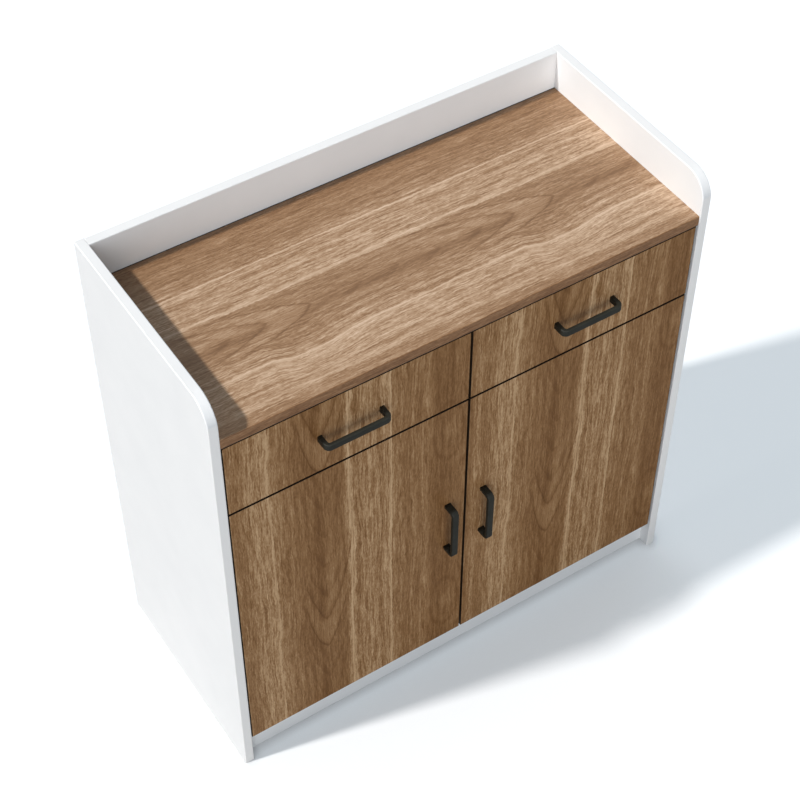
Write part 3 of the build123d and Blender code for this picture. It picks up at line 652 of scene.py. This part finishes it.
for subpart in frame["record"]["subparts"]:
    node = frame["nodes"][subpart["node"]]
    node.material_slots[0].material = finishes[subpart["material_slot"]]


def new_piece(name, points, faces, body, slot, stands_for):
    """A mesh piece that rides on a body, takes a slot's finish and stands for CAD nodes."""
    mesh = bpy.data.meshes.new(name)
    mesh.from_pydata(points.tolist(), [], faces)
    mesh.update()
    mesh.polygons.foreach_set("use_smooth", np.ones(len(mesh.polygons), dtype=bool))
    mesh.materials.append(finishes[slot])
    piece = bpy.data.objects.new(name, mesh)
    bpy.context.scene.collection.objects.link(piece)
    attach(piece, body)
    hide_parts(*stands_for)
    return piece


def tube_faces(rings, around):
    """Quads between neighbouring closed rings of points, and a cap on each end."""
    ring, corner = np.meshgrid(np.arange(rings - 1), np.arange(around), indexing="ij")
    after = (corner + 1) % around
    quads = np.stack([ring * around + corner, ring * around + after, (ring + 1) * around + after,
                      (ring + 1) * around + corner], axis=-1).reshape(-1, 4)
    first_cap = list(range(around))[::-1]
    last_cap = [(rings - 1) * around + index for index in range(around)]
    return quads.tolist() + [first_cap, last_cap]


# Bow handles: radii of the bends' outer and inner sides, thickness of the legs and of the bar, shares of the
# CAD handle's width and reach, the rounding of the edges, and where the points on a leg lie
handle_bend_outer = 0.009
handle_bend_inner = 0.003
handle_leg = 0.007
handle_bar = 0.006
handle_width_share = 0.9
handle_reach_share = 0.94
handle_edge = 0.0014
handle_leg_shares = (0.0, 0.5, 0.9)
handle_bend_steps = 14
handle_corner_steps = 5


def bow_side(half, reach, bend):
    """One side of the U as points: up a leg, round a quarter circle of the bend's radius, along the bar, and
    down again."""
    angle = np.linspace(0.0, math.pi / 2, handle_bend_steps)
    bend_x = half - bend + bend * np.cos(angle)
    bend_y = reach - bend + bend * np.sin(angle)
    leg_y = (reach - bend) * np.array(handle_leg_shares)
    leg_x = np.full(len(leg_y), half)
    right = np.stack([np.concatenate([leg_x, bend_x]), np.concatenate([leg_y, bend_y])], axis=-1)
    left = right[::-1] * [-1.0, 1.0]
    return np.concatenate([right, left])


def rounded_ring(thickness, width, radius):
    """A rectangle with four quarter circles for corners, for each thickness. A point holds its distance from
    the inner side and its place across the width."""
    angle = np.linspace(0.0, math.pi / 2, handle_corner_steps)
    rings = []
    for quarter in range(4):
        turn = angle + quarter * math.pi / 2
        outwards = 1.0 if quarter in (0, 3) else 0.0
        sideways = 1.0 if quarter in (0, 1) else -1.0
        depth = radius + (thickness[:, None] - 2 * radius) * outwards + radius * np.cos(turn)[None, :]
        side = np.broadcast_to(sideways * (width / 2 - radius) + radius * np.sin(turn), depth.shape)
        rings.append(np.stack([depth, side], axis=-1))
    return np.concatenate(rings, axis=1)


def bow_handle(name, body, node, upright):
    """A flat bar bent to a U. At each station its section reaches from the inner side's point to the outer
    side's."""
    low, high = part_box(node)
    centre = (low + high) / 2
    length = (high.z - low.z) if upright else (high.x - low.x)
    width = ((high.x - low.x) if upright else (high.z - low.z)) * handle_width_share
    reach = (high.y - low.y) * handle_reach_share
    outer = bow_side(length / 2, reach, handle_bend_outer)
    inner = bow_side(length / 2 - handle_leg, reach - handle_bar, handle_bend_inner)
    span = outer - inner
    thickness = np.linalg.norm(span, axis=1)
    ring = rounded_ring(thickness, width, handle_edge)
    flat = inner[:, None, :] + ring[:, :, :1] * (span / thickness[:, None])[:, None, :]
    side = ring[:, :, 1]
    depth = high.y - flat[:, :, 1]
    if upright:
        points = np.stack([centre.x + side, depth, centre.z + flat[:, :, 0]], axis=-1)
    else:
        points = np.stack([centre.x + flat[:, :, 0], depth, centre.z - side], axis=-1)
    faces = tube_faces(*ring.shape[:2])
    return new_piece(name, points.reshape(-1, 3), faces, body, "black_handle", [node])


for side in ("left", "right"):
    bow_handle(side + "_drawer_bow", side + "_drawer", side + "_drawer_handle", upright=False)
    bow_handle(side + "_door_bow", side + "_door", side + "_door_handle", upright=True)


# Camera: the photograph's view
camera_place = Vector((-1.0122, -1.5478, 2.4775))
camera_aim = Vector((0.0158, 0.0344, 0.4))
camera_roll = math.radians(0.12)
camera_lens = 82.35


def photo_camera():
    """The scene's camera, aimed from its place and rolled a little about its view."""
    data = bpy.data.cameras.new("photo_camera")
    data.lens = camera_lens
    camera = bpy.data.objects.new("photo_camera", data)
    bpy.context.scene.collection.objects.link(camera)
    turn = (camera_aim - camera_place).to_track_quat("-Z", "Y").to_matrix()
    turn = turn @ Matrix.Rotation(camera_roll, 3, "Z")
    camera.matrix_world = Matrix.Translation(camera_place) @ turn.to_4x4()
    bpy.context.scene.camera = camera


# Light: a key lamp from the upper left, a broad low fill from the front left, and a pale sky
key_travel = Vector((0.78, -0.165, -1.0))
key_strength = 3.15
key_colour = (1.0, 0.985, 0.97)
key_spread = math.radians(3.4)
fill_travel = Vector((0.42, 0.88, -0.22))
fill_strength = 1.6
fill_colour = (0.94, 0.965, 1.0)
fill_spread = math.radians(50.0)
sky_colour = (0.70, 0.86, 1.0)
sky_strength = 0.20


def far_lamp(name, travel, strength, spread, colour):
    """A lamp so far off that its light travels one way; its spread is the angle it fills in the sky."""
    data = bpy.data.lights.new(name, "SUN")
    data.color = colour
    data.energy = strength
    data.angle = spread
    lamp = bpy.data.objects.new(name, data)
    lamp.rotation_mode = "QUATERNION"
    lamp.rotation_quaternion = travel.to_track_quat("-Z", "Y")
    bpy.context.scene.collection.objects.link(lamp)


def studio_world():
    """White to the camera and in reflections, and a pale sky to everything else."""
    world = bpy.data.worlds.new("studio")
    world.use_nodes = True
    nodes = Nodes(world.node_tree)
    camera = nodes.add("ShaderNodeLightPath", output="Is Camera Ray")
    glossy = nodes.add("ShaderNodeLightPath", output="Is Glossy Ray")
    clear = nodes.add("ShaderNodeLightPath", output="Is Transmission Ray")
    sky = nodes.add("ShaderNodeBackground", values={"Color": (*sky_colour, 1.0), "Strength": sky_strength})
    white = nodes.add("ShaderNodeBackground", values={"Color": (1.0, 1.0, 1.0, 1.0)})
    seen = camera.larger(glossy).larger(clear)
    both = nodes.add("ShaderNodeMixShader", values={0: seen, 1: sky, 2: white})
    nodes.add("ShaderNodeOutputWorld", values={"Surface": both})
    bpy.context.scene.world = world


# Floor: its glow and tone to the camera, and its tone to other rays
floor_half = 8.0
floor_glow = (0.45, 0.49, 0.52)
floor_seen_tone = 0.62
floor_lit_tone = 0.42
# Painted shadow: the glow fades where the cabinet hides the floor within a reach. In front of the cabinet and
# past its right side, how much it fades follows the place: (place from, to, share from, to)
shade_reach = 0.6
shade_in_front = (-0.150, -0.120, 0.80, 0.10)
shade_past_side = (cad_high.x - 0.03, cad_high.x + 0.06, 1.0, 0.2)
# A painted contact shadow where the floor meets the cabinet: its reach and strength
contact_shadow_reach = 0.018
contact_shadow_share = 1.3


def studio_floor():
    """A pale floor. To the camera it adds a glow to its shading, less where the cabinet stands close, so that
    it is white with a soft shadow, partly the lamps' own and partly painted where the glow fades."""
    mesh = bpy.data.meshes.new("studio_floor")
    corners = np.array([(-1, -1, 0), (1, -1, 0), (1, 1, 0), (-1, 1, 0)]) * floor_half
    mesh.from_pydata(corners.tolist(), [], [(0, 1, 2, 3)])
    finish = Finish("studio_floor", Roughness=1.0, Specular_IOR_Level=0.0)
    seen = finish.add("ShaderNodeLightPath", output="Is Camera Ray")
    x, y, z = finish.place()
    # Painted shadow: the glow fades by ambient occlusion and by place, and more at the cabinet's feet
    shade = finish.hidden(shade_reach) * y.rise(*shade_in_front) * x.rise(*shade_past_side)
    contact_shadow = finish.hidden(contact_shadow_reach) * contact_shadow_share
    glow = finish.mix(seen * (1.0 - shade) * (1.0 - contact_shadow), (0.0, 0.0, 0.0), floor_glow)
    tone = finish.mix(seen, (floor_lit_tone,) * 3, (floor_seen_tone,) * 3)
    finish.set(Base_Color=tone, Emission_Color=glow, Emission_Strength=1.0)
    mesh.materials.append(finish.material)
    floor = bpy.data.objects.new("studio_floor", mesh)
    bpy.context.scene.collection.objects.link(floor)


photo_camera()
far_lamp("key_lamp", key_travel, key_strength, key_spread, key_colour)
far_lamp("fill_lamp", fill_travel, fill_strength, fill_spread, fill_colour)
studio_world()
studio_floor()
bpy.context.scene.view_settings.view_transform = "Standard"
